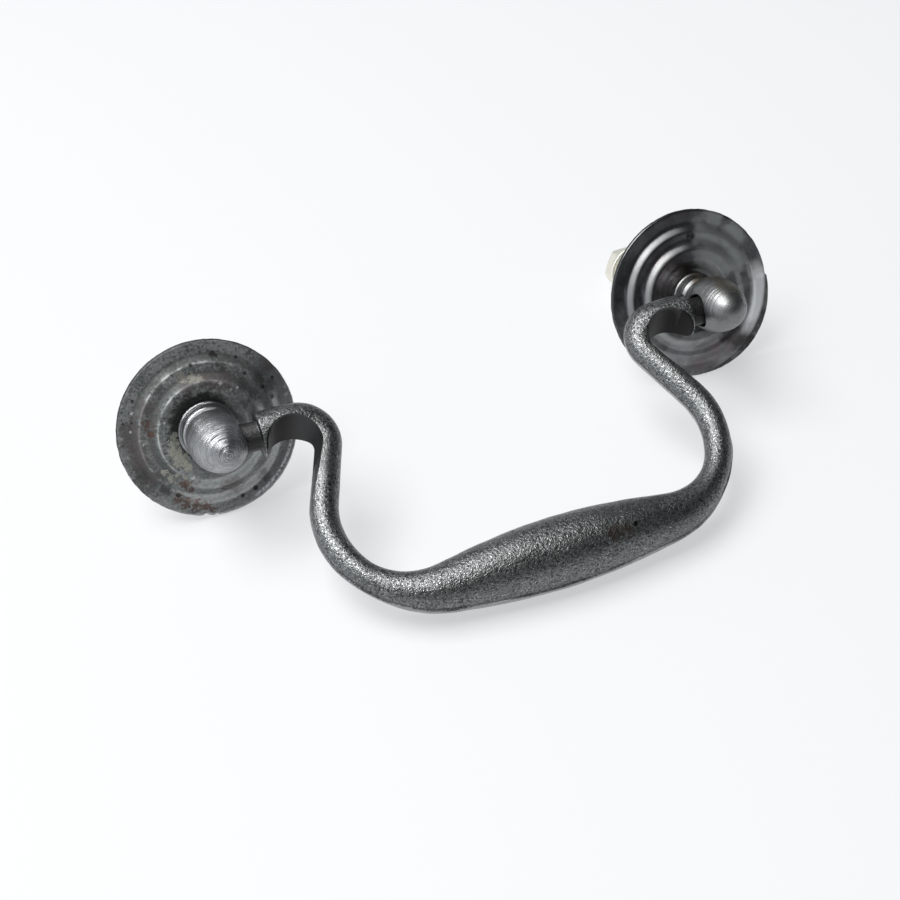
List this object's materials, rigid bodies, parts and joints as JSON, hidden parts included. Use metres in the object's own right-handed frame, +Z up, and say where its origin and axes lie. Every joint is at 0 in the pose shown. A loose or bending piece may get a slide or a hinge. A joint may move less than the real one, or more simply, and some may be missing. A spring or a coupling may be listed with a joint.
{
  "type": "swan neck drop handle",
  "caption": "Swan-neck drop handle for a drawer: a cast bail with a swelling grip swings between two turned acorn posts on stepped round roses.",
  "frame": {"origin": "middle of the handle's footprint on the surface that it lies on", "axes": "+X from the left post to the right one, -Y to the front where the grip lies, +Z up"},
  "size_m": [0.1192, 0.0776, 0.0281],
  "materials": {
    "cast_bail": "satin, finely pitted casting",
    "turned_post": "bright, with turning rings",
    "spun_rose": "dull, with worn lacquer and specks of rust",
    "zinc_fixing": "pale zinc plating"
  },
  "bodies": {
    "mounting": {"left_post": "turned_post", "left_rose": "spun_rose", "left_washer": "zinc_fixing", "left_nut": "zinc_fixing", "right_post": "turned_post", "right_rose": "spun_rose", "right_washer": "zinc_fixing", "right_nut": "zinc_fixing"},
    "bail": {"bail": "cast_bail"}
  },
  "joints": [
    {"name": "bail_swing", "type": "hinge", "parent": "mounting", "child": "bail", "pos_m": [0, -0.00057, 0.01845], "axis": [-1, 0, 0], "range_deg": [-56.1, 143.6]}
  ]
}
